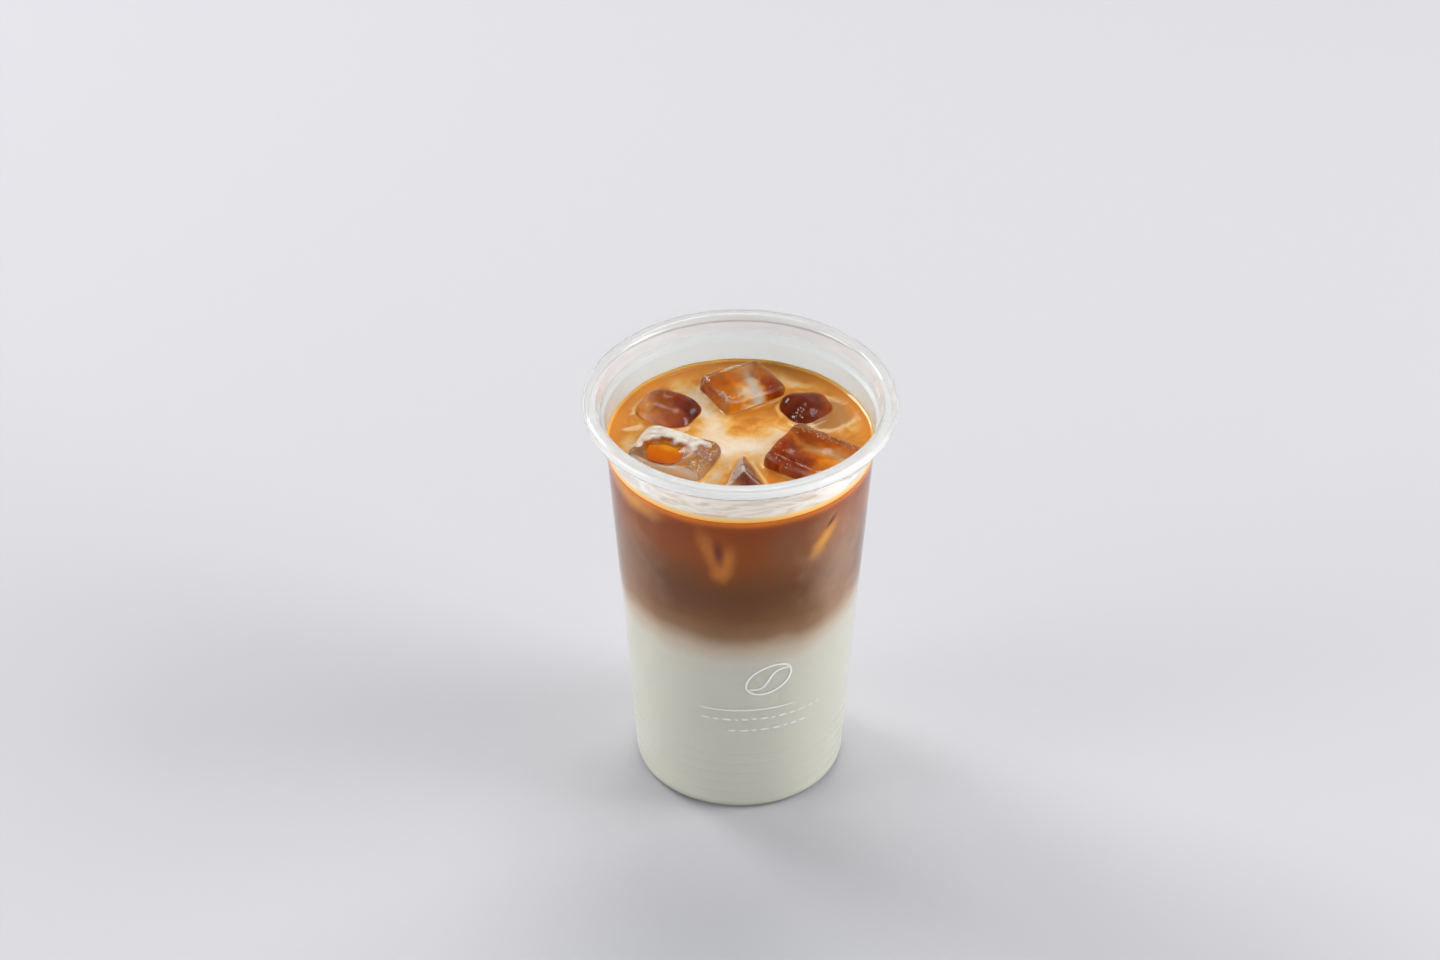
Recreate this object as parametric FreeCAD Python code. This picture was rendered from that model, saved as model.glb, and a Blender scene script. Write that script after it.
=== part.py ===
import FreeCAD, Part
import math
import os
from collections import namedtuple

# An iced milk and coffee drink in its clear plastic cup.
# Millimetres, +Z up. The origin is the middle of the foot, on the surface that the cup stands on.

# Cup: one thin formed sheet. The radii of the wall are those of its inside.
CUP_HEIGHT = 138.6      # foot to the top of the lip
SHEET = 0.5             # thickness of the plastic
FOOT_BORE = 32.1        # inside radius of the straight wall, carried down to the foot
WALL_BORE = 41.9        # inside radius of the straight wall, where it meets the ledge
FOOT_RING = 5.0         # width of the flat ring that the cup stands on
FOOT_ROUND = 2.0        # inside radius where the floor turns up into the wall
PUNT_RISE = 3.0         # how far the middle of the floor is raised
PUNT_SLOPE = 4.0        # width of the slope between the ring and the raised middle
PUNT_ROUND = 2.5        # radius of both bends of that slope
LEDGE_DROP = 8.0        # stacking ledge below the top of the lip
LEDGE_STEP = 1.3        # how far the ledge steps outwards
LEDGE_RISE = 0.6        # height that the step takes
LEDGE_ROUND = 0.7       # radius of both bends of the ledge
MOUTH_RADIUS = 44.5     # inner edge of the lip
LIP_RADIUS = 49.0       # outer edge of the lip
LIP_ROUND = 1.8         # outer radius of the two upper bends of the lip
LIP_DROP = 4.0          # height of the rolled lip
CURL_ROUND = 1.5        # outer radius of the bend that turns the lip's edge back in
CURL_RETURN = 2.2       # how far that edge comes back towards the wall

# Low rings around the outside of the wall, above the foot
RIB_COUNT = 6
RIB_FIRST = 3.6         # height of the lowest ring
RIB_PITCH = 4.2
RIB_WIDTH = 1.6
RIB_HEIGHT = 0.25

# Drink
HEADSPACE = 16.0        # from the top of the lip down to the surface of the drink
MILK_LEVEL = 72.0       # height at which the milk gives way to the coffee

# Ice: blocks with rounded edges that float in the coffee, in a ring along the wall
ICE_GAP = 0.4           # least space between two blocks
ICE_WALL_GAP = 0.7      # least space between a block and the wall
DIMPLE_RADIUS = 13.0    # radius of the hollow in the top of a dimpled block
DIMPLE_DEPTH = 3.2

# bearing: direction from the axis, in degrees from +X. inset: from the wall, at the drink's surface,
# to the block's centre. sink: the centre below the surface. In degrees, the block rolls about Y first,
# then pitches about X and last turns about Z. dimple: whether its top is hollow.
Block = namedtuple("Block", "name bearing inset sink length width depth edge pitch roll turn dimple")
BLOCKS = [
    Block("ice_left_back", 146.1, 14.4, 5.5, 20.0, 19.0, 20.0, 5.0, 2.0, -4.0, 8.0, False),
    Block("ice_back", 89.3, 16.5, 5.0, 22.0, 18.5, 20.0, 2.5, 0.0, 5.0, 32.0, False),
    Block("ice_right_back", 37.6, 15.6, 5.0, 18.0, 17.0, 19.0, 5.0, 2.0, 15.0, 25.0, False),
    Block("ice_right_front", -28.1, 15.8, 5.0, 26.0, 22.0, 20.0, 3.0, 0.0, 4.0, -31.0, False),
    Block("ice_left_front", -154.7, 18.6, 3.5, 26.0, 19.0, 17.0, 4.0, 0.0, 0.0, -25.5, True),
    Block("ice_front", -87.2, 20.7, 7.8, 17.5, 17.5, 17.5, 2.0, -20.0, 45.0, 3.0, False),
]

LEDGE_HEIGHT = CUP_HEIGHT - LEDGE_DROP
DRINK_LEVEL = CUP_HEIGHT - HEADSPACE


def inner_radius(height):
    """Inside radius of the straight wall at a height above the foot."""
    return FOOT_BORE + (WALL_BORE - FOOT_BORE) * height / LEDGE_HEIGHT


def unit(start, end):
    """Unit vector from one (radius, height) point to another."""
    length = math.hypot(end[0] - start[0], end[1] - start[1])
    return (end[0] - start[0]) / length, (end[1] - start[1]) / length


def shifted(outline, distance):
    """The outline's corners moved to the right of its direction, with each bend's new radius."""
    corners = []
    for index, (radius, height, bend) in enumerate(outline):
        before = unit(*[point[:2] for point in outline[max(index - 1, 0):][:2]])
        after = before
        if 0 < index < len(outline) - 1:
            after = unit(outline[index][:2], outline[index + 1][:2])
        turn = before[0] * after[1] - before[1] * after[0]
        stretch = distance / (1.0 + before[0] * after[0] + before[1] * after[1])
        side = (before[1] + after[1], -before[0] - after[0])
        new_bend = bend + math.copysign(distance, turn) if bend else 0.0
        corners.append((radius + side[0] * stretch, height + side[1] * stretch, new_bend))
    return corners


def rounded_edges(corners):
    """Lines along the corners, in the XZ plane, with an arc of its own radius in each bend."""
    edges = []
    start = FreeCAD.Vector(corners[0][0], 0, corners[0][1])
    for before, corner, after in zip(corners, corners[1:], corners[2:]):
        tip = FreeCAD.Vector(corner[0], 0, corner[1])
        back = (FreeCAD.Vector(before[0], 0, before[1]) - tip).normalize()
        ahead = (FreeCAD.Vector(after[0], 0, after[1]) - tip).normalize()
        half = back.getAngle(ahead) / 2.0
        first = tip + back * (corner[2] / math.tan(half))
        last = tip + ahead * (corner[2] / math.tan(half))
        reach = corner[2] / math.sin(half) - corner[2]
        middle = tip + (back + ahead).normalize() * reach
        edges.append(Part.LineSegment(start, first).toShape())
        edges.append(Part.Arc(first, middle, last).toShape())
        start = last
    end = FreeCAD.Vector(corners[-1][0], 0, corners[-1][1])
    edges.append(Part.LineSegment(start, end).toShape())
    return edges


def closed(edges, *corners):
    """Face inside the open chain of edges, closed by straight lines through the corners."""
    wire = Part.Wire(edges)
    ends = [vertex.Point for vertex in (wire.OrderedVertexes[-1], wire.OrderedVertexes[0])]
    path = [ends[0]] + list(corners) + [ends[1]]
    lines = [Part.LineSegment(a, b).toShape() for a, b in zip(path, path[1:])]
    return Part.Face(Part.Wire(list(edges) + lines))


def spun(face):
    """Solid of the face turned once about the cup's axis."""
    solid = face.revolve(FreeCAD.Vector(0, 0, 0), FreeCAD.Vector(0, 0, 1), 360)
    return Part.Solid(solid) if solid.ShapeType != "Solid" else solid


def wall_outline():
    """Inside of the sheet from the middle of the floor to the ledge, as (radius, height, bend)."""
    corner_radius = inner_radius(SHEET)
    ring_edge = corner_radius + SHEET - FOOT_ROUND - FOOT_RING
    return [
        (0.0, SHEET + PUNT_RISE, 0.0),
        (ring_edge - PUNT_SLOPE, SHEET + PUNT_RISE, PUNT_ROUND),
        (ring_edge, SHEET, PUNT_ROUND),
        (corner_radius, SHEET, FOOT_ROUND),
        (WALL_BORE, LEDGE_HEIGHT, LEDGE_ROUND),
    ]


def lip_outline():
    """The same side of the sheet from the ledge over the rolled lip to its free edge."""
    return [
        (WALL_BORE + LEDGE_STEP, LEDGE_HEIGHT + LEDGE_RISE, LEDGE_ROUND),
        (MOUTH_RADIUS, CUP_HEIGHT, LIP_ROUND),
        (LIP_RADIUS, CUP_HEIGHT, LIP_ROUND),
        (LIP_RADIUS, CUP_HEIGHT - LIP_DROP, CURL_ROUND),
        (LIP_RADIUS - CURL_RETURN, CUP_HEIGHT - LIP_DROP, 0.0),
    ]


def make_rib(height):
    """Low ring with a curved face around the outside of the wall."""
    slope = math.atan2(WALL_BORE - FOOT_BORE, LEDGE_HEIGHT)
    along = FreeCAD.Vector(math.sin(slope), 0, math.cos(slope))
    outward = FreeCAD.Vector(math.cos(slope), 0, -math.sin(slope))
    middle = FreeCAD.Vector(inner_radius(height), 0, height) + outward * SHEET
    low = middle - along * (RIB_WIDTH / 2)
    high = middle + along * (RIB_WIDTH / 2)
    root = outward * (SHEET / 2)
    arc = Part.Arc(low, middle + outward * RIB_HEIGHT, high).toShape()
    return spun(closed([arc], high - root, low - root))


def make_cup():
    """The formed cup, with its raised floor, foot ring, ledge and rolled lip."""
    outline = wall_outline() + lip_outline()
    inner = rounded_edges(outline)
    outer = rounded_edges(shifted(outline, SHEET))
    inner_wire = Part.Wire(inner)
    outer_wire = Part.Wire(outer)
    joins = [
        Part.LineSegment(inner_wire.OrderedVertexes[i].Point, outer_wire.OrderedVertexes[i].Point).toShape()
        for i in (0, -1)
    ]
    face = Part.Face(Part.Wire(Part.__sortEdges__(inner + outer + joins)))
    cup = spun(face)
    for index in range(RIB_COUNT):
        cup = cup.fuse(make_rib(RIB_FIRST + index * RIB_PITCH))
    return cup.removeSplitter()


def make_room():
    """All the space inside the straight wall, from the floor up to the ledge."""
    corners = wall_outline()
    axis_top = FreeCAD.Vector(0, 0, LEDGE_HEIGHT)
    return spun(closed(rounded_edges(corners), axis_top))


def slab(low, high):
    """Disc wider than the cup between two heights."""
    return Part.makeCylinder(LIP_RADIUS, high - low, FreeCAD.Vector(0, 0, low))


def place_block(block, growth=0.0):
    """A block with rounded edges at its place in the drink, grown all round when asked."""
    size = [block.length + 2 * growth, block.width + 2 * growth, block.depth + 2 * growth]
    corner = FreeCAD.Vector(*size) * -0.5
    shape = Part.makeBox(*size, corner)
    shape = shape.makeFillet(block.edge + growth, shape.Edges)
    if block.dimple and not growth:
        height = block.depth / 2 + DIMPLE_RADIUS - DIMPLE_DEPTH
        shape = shape.cut(Part.makeSphere(DIMPLE_RADIUS, FreeCAD.Vector(0, 0, height)))
    pitch = FreeCAD.Rotation(FreeCAD.Vector(1, 0, 0), block.pitch)
    roll = FreeCAD.Rotation(FreeCAD.Vector(0, 1, 0), block.roll)
    turn = FreeCAD.Rotation(FreeCAD.Vector(0, 0, 1), block.turn)
    distance = inner_radius(DRINK_LEVEL) - block.inset
    bearing = math.radians(block.bearing)
    centre = FreeCAD.Vector(
        distance * math.cos(bearing), distance * math.sin(bearing), DRINK_LEVEL - block.sink)
    shape.Placement = FreeCAD.Placement(centre, turn * pitch * roll)
    return shape


def largest(shape):
    """The largest solid of a shape."""
    return max(shape.Solids, key=lambda solid: solid.Volume)


def make_ice():
    """Every block by its name, kept clear of the wall and of the blocks placed before it."""
    space = Part.makeCone(
        inner_radius(0) - ICE_WALL_GAP, inner_radius(CUP_HEIGHT) - ICE_WALL_GAP, CUP_HEIGHT)
    ice = {}
    taken = []
    for block in BLOCKS:
        shape = place_block(block).common(space)
        for other in taken:
            shape = shape.cut(other)
        ice[block.name] = largest(shape)
        taken.append(place_block(block, ICE_GAP))
    return ice


def make_nodes():
    """Every piece of the drink by the name of its node."""
    room = make_room()
    ice = make_ice()
    coffee = room.common(slab(MILK_LEVEL, DRINK_LEVEL))
    for shape in ice.values():
        coffee = coffee.cut(shape)
    nodes = {
        "cup": make_cup(),
        "milk_layer": room.common(slab(0, MILK_LEVEL)),
        "coffee_layer": coffee,
    }
    nodes.update(ice)
    return nodes


os.makedirs("parts", exist_ok=True)
for name, shape in make_nodes().items():
    solid = largest(shape)
    solid.exportStep(os.path.join("parts", name + ".step"))
    box = solid.BoundBox
    print(name, "solids", len(shape.Solids), "valid", solid.isValid(), "volume %.1f" % solid.Volume,
          "z %.2f to %.2f" % (box.ZMin, box.ZMax))
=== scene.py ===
import math
from collections import namedtuple

import bpy
import numpy as np
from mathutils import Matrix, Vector


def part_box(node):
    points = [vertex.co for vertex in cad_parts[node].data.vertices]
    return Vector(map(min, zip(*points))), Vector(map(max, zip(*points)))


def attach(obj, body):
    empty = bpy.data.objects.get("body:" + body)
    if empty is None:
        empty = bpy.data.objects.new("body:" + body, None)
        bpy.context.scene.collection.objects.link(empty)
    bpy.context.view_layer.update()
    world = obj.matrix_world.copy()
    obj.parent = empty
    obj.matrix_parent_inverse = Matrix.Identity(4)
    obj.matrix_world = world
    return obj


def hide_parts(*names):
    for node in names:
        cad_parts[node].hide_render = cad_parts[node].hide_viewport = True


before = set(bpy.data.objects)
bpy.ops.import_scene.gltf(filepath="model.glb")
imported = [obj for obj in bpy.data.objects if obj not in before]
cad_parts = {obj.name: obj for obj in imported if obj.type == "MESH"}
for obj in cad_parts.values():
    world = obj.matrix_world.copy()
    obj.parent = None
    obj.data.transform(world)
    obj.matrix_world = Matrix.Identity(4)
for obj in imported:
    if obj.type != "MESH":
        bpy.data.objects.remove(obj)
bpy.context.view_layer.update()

# Iced milk coffee in a clear cup: the formed cup, the milk, the coffee, the ice and what floats with it.
# Metres, +Z up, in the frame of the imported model.

# ---------------------------------------------------------------- sizes

LIP_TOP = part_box("cup")[1].z
LIP_RADIUS = min(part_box("cup")[1].x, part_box("cup")[1].y)
COFFEE_DEPTH = 0.0506
DRINK_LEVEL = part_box("coffee_layer")[0].z + COFFEE_DEPTH
MILK_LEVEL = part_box("milk_layer")[1].z

SHEET = 0.0005          # thickness of the plastic
FOOT_BORE = 0.0321      # inside radius of the wall, carried down to the foot
WALL_BORE = 0.0419      # inside radius of the wall at the ledge
FOOT_RING = 0.005       # width of the flat ring that the cup stands on
FOOT_ROUND = 0.002
PUNT_RISE = 0.003       # of the middle of the cup's floor
PUNT_SLOPE = 0.004      # width of the slope up to it
PUNT_ROUND = 0.0025
LIP_HEIGHT = 0.008      # from the ledge to the top of the lip
LEDGE_HEIGHT = LIP_TOP - LIP_HEIGHT
LEDGE_STEP = 0.0013
LEDGE_RISE = 0.0006
LEDGE_ROUND = 0.0007
LIP_WIDTH = 0.0045
MOUTH_RADIUS = LIP_RADIUS - LIP_WIDTH
LIP_ROUND = 0.0018
LIP_DROP = 0.004        # of the lip's outer edge
CURL_ROUND = 0.0015
CURL_RETURN = 0.0022    # how far the free edge turns in under the lip

RIB_COUNT = 6
RIB_FIRST = 0.0036
RIB_PITCH = 0.0042
RIB_WIDTH = 0.0016
RIB_HEIGHT = 0.00025

WALL_BITE = 0.0002      # how far the drink reaches into the plastic
MENISCUS = 0.0013       # how far the drink climbs the wall
MENISCUS_REACH = 0.0014         # distance from the wall over which that falls off
ICE_CLIMB = 0.0006      # how far it climbs the ice
ICE_CLIMB_REACH = 0.0009
WAVES = 0.00012         # unevenness of the surface

CRISP = 0.00008         # between two rows of points that keep an edge sharp
ROUND_CUP = 256         # points round the cup
ROUND_DRINK = 512       # points round the drink's surface
SURFACE_STEP = 0.0004   # between two rings of the drink's surface
ARC_POINTS = 9          # in each bend of the plastic
# Stations along the line of the plastic: from which length to which, and the step between them
WHOLE_LINE = (0, 1, 0.004)
RIBBED_PART = (0.030, 0.062, 0.0002)

# Ice blocks: size, edge radius, pitch, roll and turn in degrees, and whether the top is hollow. The roll
# about Y comes first, then the pitch about X, then the turn about Z.
Block = namedtuple("Block", "name length width depth edge pitch roll turn dimple")
BLOCKS = [
    Block("ice_left_back", 0.0205, 0.0176, 0.020, 0.0066, 4, 3, -30, False),
    Block("ice_back", 0.022, 0.0185, 0.020, 0.0025, 0, 5, 32, False),
    Block("ice_right_back", 0.018, 0.016, 0.018, 0.0062, 2, 21, 30, False),
    Block("ice_right_front", 0.026, 0.022, 0.020, 0.0030, 0, 4, -31, False),
    Block("ice_left_front", 0.026, 0.019, 0.017, 0.0040, 0, 0, -25.5, True),
    Block("ice_front", 0.0175, 0.0175, 0.0175, 0.0020, -20, 45, 3, False),
]
# White frost of each block's faces, and brown painted shade on some of them, by the block's own +X, -X, +Y,
# -Y and +Z
FROSTED = {
    "ice_front": (0.0, 0.40, 0.0, 0.10, 0.10),
    "ice_left_front": (0.15, 0.30, 0.0, 0.55, 0.0),
    "ice_left_back": (0.0, 0.15, 0.0, 0.0, 0.05),
    "ice_right_front": (0.0, 0.10, 0.45, 0.0, 0.0),
}
# The brown is painted shade: side faces darkened where the view through them falls into the deep coffee.
SHADED_FACES = {
    "ice_front": (0.0, 0.1, 0.2, 0.2, 0.1),
    "ice_back": (0.0, 0.7, 0.0, 0.0, 0.0),
    "ice_right_back": (0.0, 0.3, 0.0, 0.2, 0.0),
    "ice_right_front": (0.0, 0.3, 0.0, 0.2, 0.0),
}
DIMPLE_RADIUS = 0.0085
DIMPLE_DEPTH = 0.0032
HOLLOW = (-0.0020, -0.0035)     # middle of the hollow top in its block's axes
POOL_RADIUS = 0.0070
POOL_SHIFT = (0.0009, 0.0010)   # of the coffee in the hollow from the hollow's middle
POOL_DROP = 0.0019              # of that coffee below the block's top
POOL_DEPTH = 0.0012
POOL_MENISCUS = 0.0005

# Air bubbles: number of the block in BLOCKS, middle and spread in its axes, how many, and the largest
# radius
Swarm = namedtuple("Swarm", "block middle spread count size")
SWARMS = [
    Swarm(3, (-0.0060, -0.0060, 0.0076), (0.0060, 0.0040, 0.0015), 34, 0.00024),
    Swarm(3, (0.0020, 0.0088, 0.0080), (0.0110, 0.0015, 0.0012), 90, 0.00036),
    Swarm(2, (-0.0072, -0.0046, 0.0058), (0.0012, 0.0026, 0.0022), 24, 0.00032),
    # The next two swarms, on the left face of block 1, are painted highlights: pale balls where that face
    # catches the light.
    Swarm(1, (-0.0094, 0.0062, 0.0086), (0.0007, 0.0014, 0.0006), 16, 0.00055),
    Swarm(1, (-0.0094, -0.0040, 0.0086), (0.0008, 0.0018, 0.0006), 22, 0.00060),
    Swarm(4, (0.0098, -0.0010, 0.0068), (0.0026, 0.0074, 0.0014), 110, 0.00038),
    Swarm(5, (0.0060, 0.0000, 0.0060), (0.0026, 0.0060, 0.0026), 60, 0.00036),
    Swarm(0, (-0.0050, 0.0050, 0.0070), (0.0040, 0.0030, 0.0020), 18, 0.00025),
]
BUBBLE_COVER = 0.0006   # least ice between a bubble's middle and the block's side
ICE_GRID = 44           # points along each side of a block's face
MELT = 0.00022          # how uneven melting leaves the ice
MELT_WAVE = 0.009       # length of its ripples
EDGE_FROST_AND_GLINT = 0.26       # whiteness of the frost and painted highlight along a block's upper edges
SHARP_EDGE = 0.003      # edge radius up to which that frost is at its whitest
FOAM_LINE = 0.0004      # distance from the ice of the thin line of foam along it
FOAM_LINE_WIDTH = 0.0005
WELL_DEPTH = 0.0055     # of the hollow that a block leaves in the drink
WELL_INSET = 0.0003     # of its upper edge from the block's side
WELL_SLOPE = 0.0034     # of its foot from the block's side
UNDER_BLOCK = -0.0004   # distance from a block's side at which the look of its well begins


# ---------------------------------------------------------------- surfaces

def publish(name, points, faces, smooth=True):
    """A mesh object of these points and four-cornered faces, turned so that its faces point outwards.

    A corner that is the same as the next one of its face counts once, which leaves a triangle.
    """
    corners = points[np.concatenate([faces[:, :3], faces[:, [0, 2, 3]]])]
    volume = np.einsum("ij,ij->i", corners[:, 0], np.cross(corners[:, 1], corners[:, 2])).sum()
    if volume < 0:
        faces = faces[:, ::-1]
    flat = faces.reshape(-1)
    keep = (faces != np.roll(faces, -1, axis=1)).reshape(-1)
    counts = keep.reshape(faces.shape).sum(1)
    mesh = bpy.data.meshes.new(name)
    mesh.vertices.add(len(points))
    mesh.vertices.foreach_set("co", points.astype(np.float32).ravel())
    mesh.loops.add(int(keep.sum()))
    mesh.loops.foreach_set("vertex_index", flat[keep].astype(np.int32))
    mesh.polygons.add(len(faces))
    mesh.polygons.foreach_set("loop_start", (np.cumsum(counts) - counts).astype(np.int32))
    mesh.update(calc_edges=True)
    mesh.validate()
    mesh.polygons.foreach_set("use_smooth", np.full(len(mesh.polygons), smooth))
    piece = bpy.data.objects.new(name, mesh)
    bpy.context.scene.collection.objects.link(piece)
    return piece


def wound(rows):
    """Points and faces of a grid that closes on itself along its second axis.

    Point (i, j) joins (i, j + 1), (i + 1, j + 1) and (i + 1, j). A first or last row that lies on the
    axis is one point, so its faces become triangles.
    """
    count, around = rows.shape[:2]
    index = np.arange(count * around).reshape(count, around)
    for row in (0, -1):
        if np.ptp(rows[row], axis=0).max() < 1e-9:
            index[row] = index[row, 0]
    following = np.roll(index, -1, axis=1)
    faces = np.stack([index[:-1], following[:-1], following[1:], index[1:]], -1).reshape(-1, 4)
    used, renumbered = np.unique(faces, return_inverse=True)
    return rows.reshape(-1, 3)[used], renumbered.reshape(-1, 4), used


def spun(line, around):
    """Rows of points: each (radius, height) of the line turned about the axis in equal steps."""
    angle = np.linspace(0, 2 * math.pi, around, endpoint=False)
    radius, height = line[:, :1], line[:, 1:]
    return np.stack([radius * np.cos(angle), radius * np.sin(angle), height + 0 * angle], -1)


def note(piece, name, values):
    """Keeps one number for each point of the piece, for its material to read."""
    attribute = piece.data.attributes.new(name, "FLOAT", "POINT")
    attribute.data.foreach_set("value", values.astype(np.float32).ravel())


def eased(value, low, high):
    """0 below low and 1 above high, with a smooth change between them."""
    share = np.clip((value - low) / (high - low), 0, 1)
    return share * share * (3 - 2 * share)


def ripple(points, wavelength, seed, waves=7):
    """Smooth unevenness between about -1 and 1: sine waves in seeded directions, added up."""
    dice = np.random.default_rng(seed)
    total = np.zeros(points.shape[:-1])
    for _ in range(waves):
        direction = dice.normal(size=3)
        direction *= 2 * math.pi / wavelength * dice.uniform(0.6, 1.5) / np.linalg.norm(direction)
        total += np.sin(points @ direction + dice.uniform(0, 2 * math.pi))
    return total / math.sqrt(waves) * 0.8


# ---------------------------------------------------------------- cup outline

def cup_radius(height):
    """Inside radius of the straight wall at a height."""
    return FOOT_BORE + (WALL_BORE - FOOT_BORE) * height / LEDGE_HEIGHT


def wall_corners():
    """Inside of the sheet from the middle of the floor to the ledge, as radius, height and bend."""
    foot = cup_radius(SHEET)
    ring_edge = foot + SHEET - FOOT_ROUND - FOOT_RING
    return [
        (0.0, SHEET + PUNT_RISE, 0.0),
        (ring_edge - PUNT_SLOPE, SHEET + PUNT_RISE, PUNT_ROUND),
        (ring_edge, SHEET, PUNT_ROUND),
        (foot, SHEET, FOOT_ROUND),
        (WALL_BORE, LEDGE_HEIGHT, LEDGE_ROUND),
    ]


def lip_corners():
    """The same side of the sheet from the ledge over the rolled lip to its free edge."""
    return [
        (WALL_BORE + LEDGE_STEP, LEDGE_HEIGHT + LEDGE_RISE, LEDGE_ROUND),
        (MOUTH_RADIUS, LIP_TOP, LIP_ROUND),
        (LIP_RADIUS, LIP_TOP, LIP_ROUND),
        (LIP_RADIUS, LIP_TOP - LIP_DROP, CURL_ROUND),
        (LIP_RADIUS - CURL_RETURN, LIP_TOP - LIP_DROP, 0.0),
    ]


def moved(corners, distance):
    """The corners moved to the right of their direction, where a left bend opens and a right one closes."""
    spots = np.array([corner[:2] for corner in corners])
    ways = np.diff(spots, axis=0)
    ways /= np.linalg.norm(ways, axis=1)[:, None]
    before = np.vstack([ways[:1], ways])
    after = np.vstack([ways, ways[-1:]])
    stretch = distance / (1 + (before * after).sum(1))
    sides = np.stack([before[:, 1] + after[:, 1], -before[:, 0] - after[:, 0]], 1)
    turns = np.sign(before[:, 0] * after[:, 1] - before[:, 1] * after[:, 0])
    bends = np.array([corner[2] for corner in corners])
    bends = np.where(bends > 0, bends + turns * distance, 0)
    return [(*spot, bend) for spot, bend in zip(spots + sides * stretch[:, None], bends)]


def bent(corners):
    """Line through the corners, with an arc of its own radius, tangent to both sides, in each bend."""
    line = [np.array(corners[0][:2])[None]]
    for before, corner, after in zip(corners, corners[1:], corners[2:]):
        tip = np.array(corner[:2])
        back = np.array(before[:2]) - tip
        ahead = np.array(after[:2]) - tip
        back /= np.linalg.norm(back)
        ahead /= np.linalg.norm(ahead)
        half = math.acos(np.clip(back @ ahead, -1, 1)) / 2
        middle = (back + ahead) / np.linalg.norm(back + ahead)
        centre = tip + middle * corner[2] / math.sin(half)
        swing = np.linspace(half - math.pi / 2, math.pi / 2 - half, ARC_POINTS)[:, None]
        across = ahead - middle * (middle @ ahead)
        across /= np.linalg.norm(across)
        line.append(centre - corner[2] * (np.cos(swing) * middle - np.sin(swing) * across))
    line.append(np.array(corners[-1][:2])[None])
    return np.concatenate(line)


def divided(line, *steps):
    """The line with more points: for each (start, end, step), stations along it between those lengths."""
    length = np.concatenate([[0], np.cumsum(np.linalg.norm(np.diff(line, axis=0), axis=1))])
    stations = [length]
    for start, end, step in steps:
        stations.append(np.arange(start, min(end, length[-1]), step))
    stations = np.unique(np.concatenate(stations).round(6))
    return np.stack([np.interp(stations, length, line[:, axis]) for axis in (0, 1)], 1)


def rib_lift(height):
    """How far the low rings stand out of the wall at a height: an arc over each ring's width."""
    centres = RIB_FIRST + RIB_PITCH * np.arange(RIB_COUNT)
    away = np.abs(np.asarray(height)[..., None] - centres).min(-1)
    return RIB_HEIGHT * np.clip(1 - (2 * away / RIB_WIDTH) ** 2, 0, None)


# ---------------------------------------------------------------- ice

def axes_of(block):
    """Rotation matrix of a block: pitch about X, roll about Y and turn about Z, the roll first."""
    a, b, c = (math.radians(angle) for angle in (block.pitch, block.roll, block.turn))
    about_x = np.array([[1, 0, 0], [0, math.cos(a), -math.sin(a)], [0, math.sin(a), math.cos(a)]])
    about_y = np.array([[math.cos(b), 0, math.sin(b)], [0, 1, 0], [-math.sin(b), 0, math.cos(b)]])
    about_z = np.array([[math.cos(c), -math.sin(c), 0], [math.sin(c), math.cos(c), 0], [0, 0, 1]])
    return about_z @ about_x @ about_y


def centre_of(block):
    low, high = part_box(block.name)
    return np.array((low + high) / 2)


def within(block, points):
    """The points in the block's own axes, from its centre."""
    return (points - centre_of(block)) @ axes_of(block)


def block_distance(block, points):
    """Distance from the block's surface, less than nothing inside it.

    In the block's axes it is the length of what lies beyond its core, less the edge radius.
    """
    half = np.array([block.length, block.width, block.depth]) / 2
    beyond = np.abs(within(block, points)) - (half - block.edge)
    outside = np.linalg.norm(np.maximum(beyond, 0), axis=-1)
    return outside + np.minimum(beyond.max(-1), 0) - block.edge


def hollow_reach(local):
    """Distance from the middle of the hollow top as a share of its radius: an ellipse open to the front."""
    x, y = local[..., 0] - HOLLOW[0], local[..., 1] - HOLLOW[1]
    return np.hypot(x * 0.92, y * np.where(y < 0, 0.8, 1.15)) / DIMPLE_RADIUS


def dimple_drop(local):
    """Depth of the hollow at a place in the block's axes: a shallow bowl."""
    return DIMPLE_DEPTH * (1 - eased(hollow_reach(local), 0.35, 1.0))


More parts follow.
